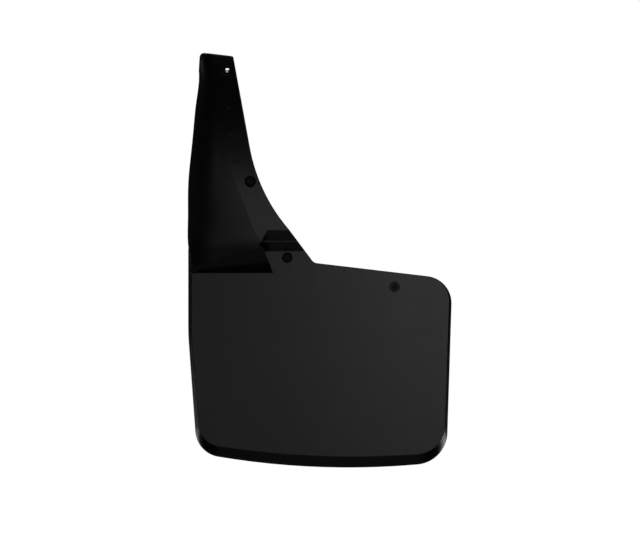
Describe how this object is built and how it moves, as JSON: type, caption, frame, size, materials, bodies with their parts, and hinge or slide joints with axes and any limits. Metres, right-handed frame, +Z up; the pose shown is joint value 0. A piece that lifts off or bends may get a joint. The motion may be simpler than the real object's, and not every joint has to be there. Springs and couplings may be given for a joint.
{
  "type": "mud flap",
  "caption": "Moulded truck mud flap: broad bowed paddle with a turned-back rim, and a tall dished arm with a screw strip that follows the wheel arch.",
  "frame": {"origin": "on the axis of the lower fixing screw, in the plane where the moulding's screw boss is clamped against the vehicle's bracket", "axes": "+Z up as fitted, +X towards the middle of the vehicle, -Y towards the wheel"},
  "size_m": [0.291, 0.0963, 0.4552],
  "materials": {
    "moulded_plastic": "satin, fine moulded grain",
    "black_screw": "black coated steel",
    "spring_steel": "phosphated spring steel",
    "retainer_plastic": "satin nylon",
    "foam": "matt closed-cell foam"
  },
  "bodies": {
    "flap": {"flap_moulding": "moulded_plastic", "lower_screw": "black_screw", "lower_washer": "black_screw", "lower_clip_nut": "spring_steel", "mid_screw": "black_screw", "mid_washer": "black_screw", "mid_clip_nut": "spring_steel", "retainer_body": "retainer_plastic", "lower_foam_strip": "foam", "upper_foam_strip": "foam"},
    "retainer_pin": {"retainer_pin": "retainer_plastic"}
  },
  "joints": [
    {"name": "retainer_pin_slide", "type": "slide", "parent": "flap", "child": "retainer_pin", "axis": [0, -1, 0], "range_m": [0, 0.006]}
  ]
}
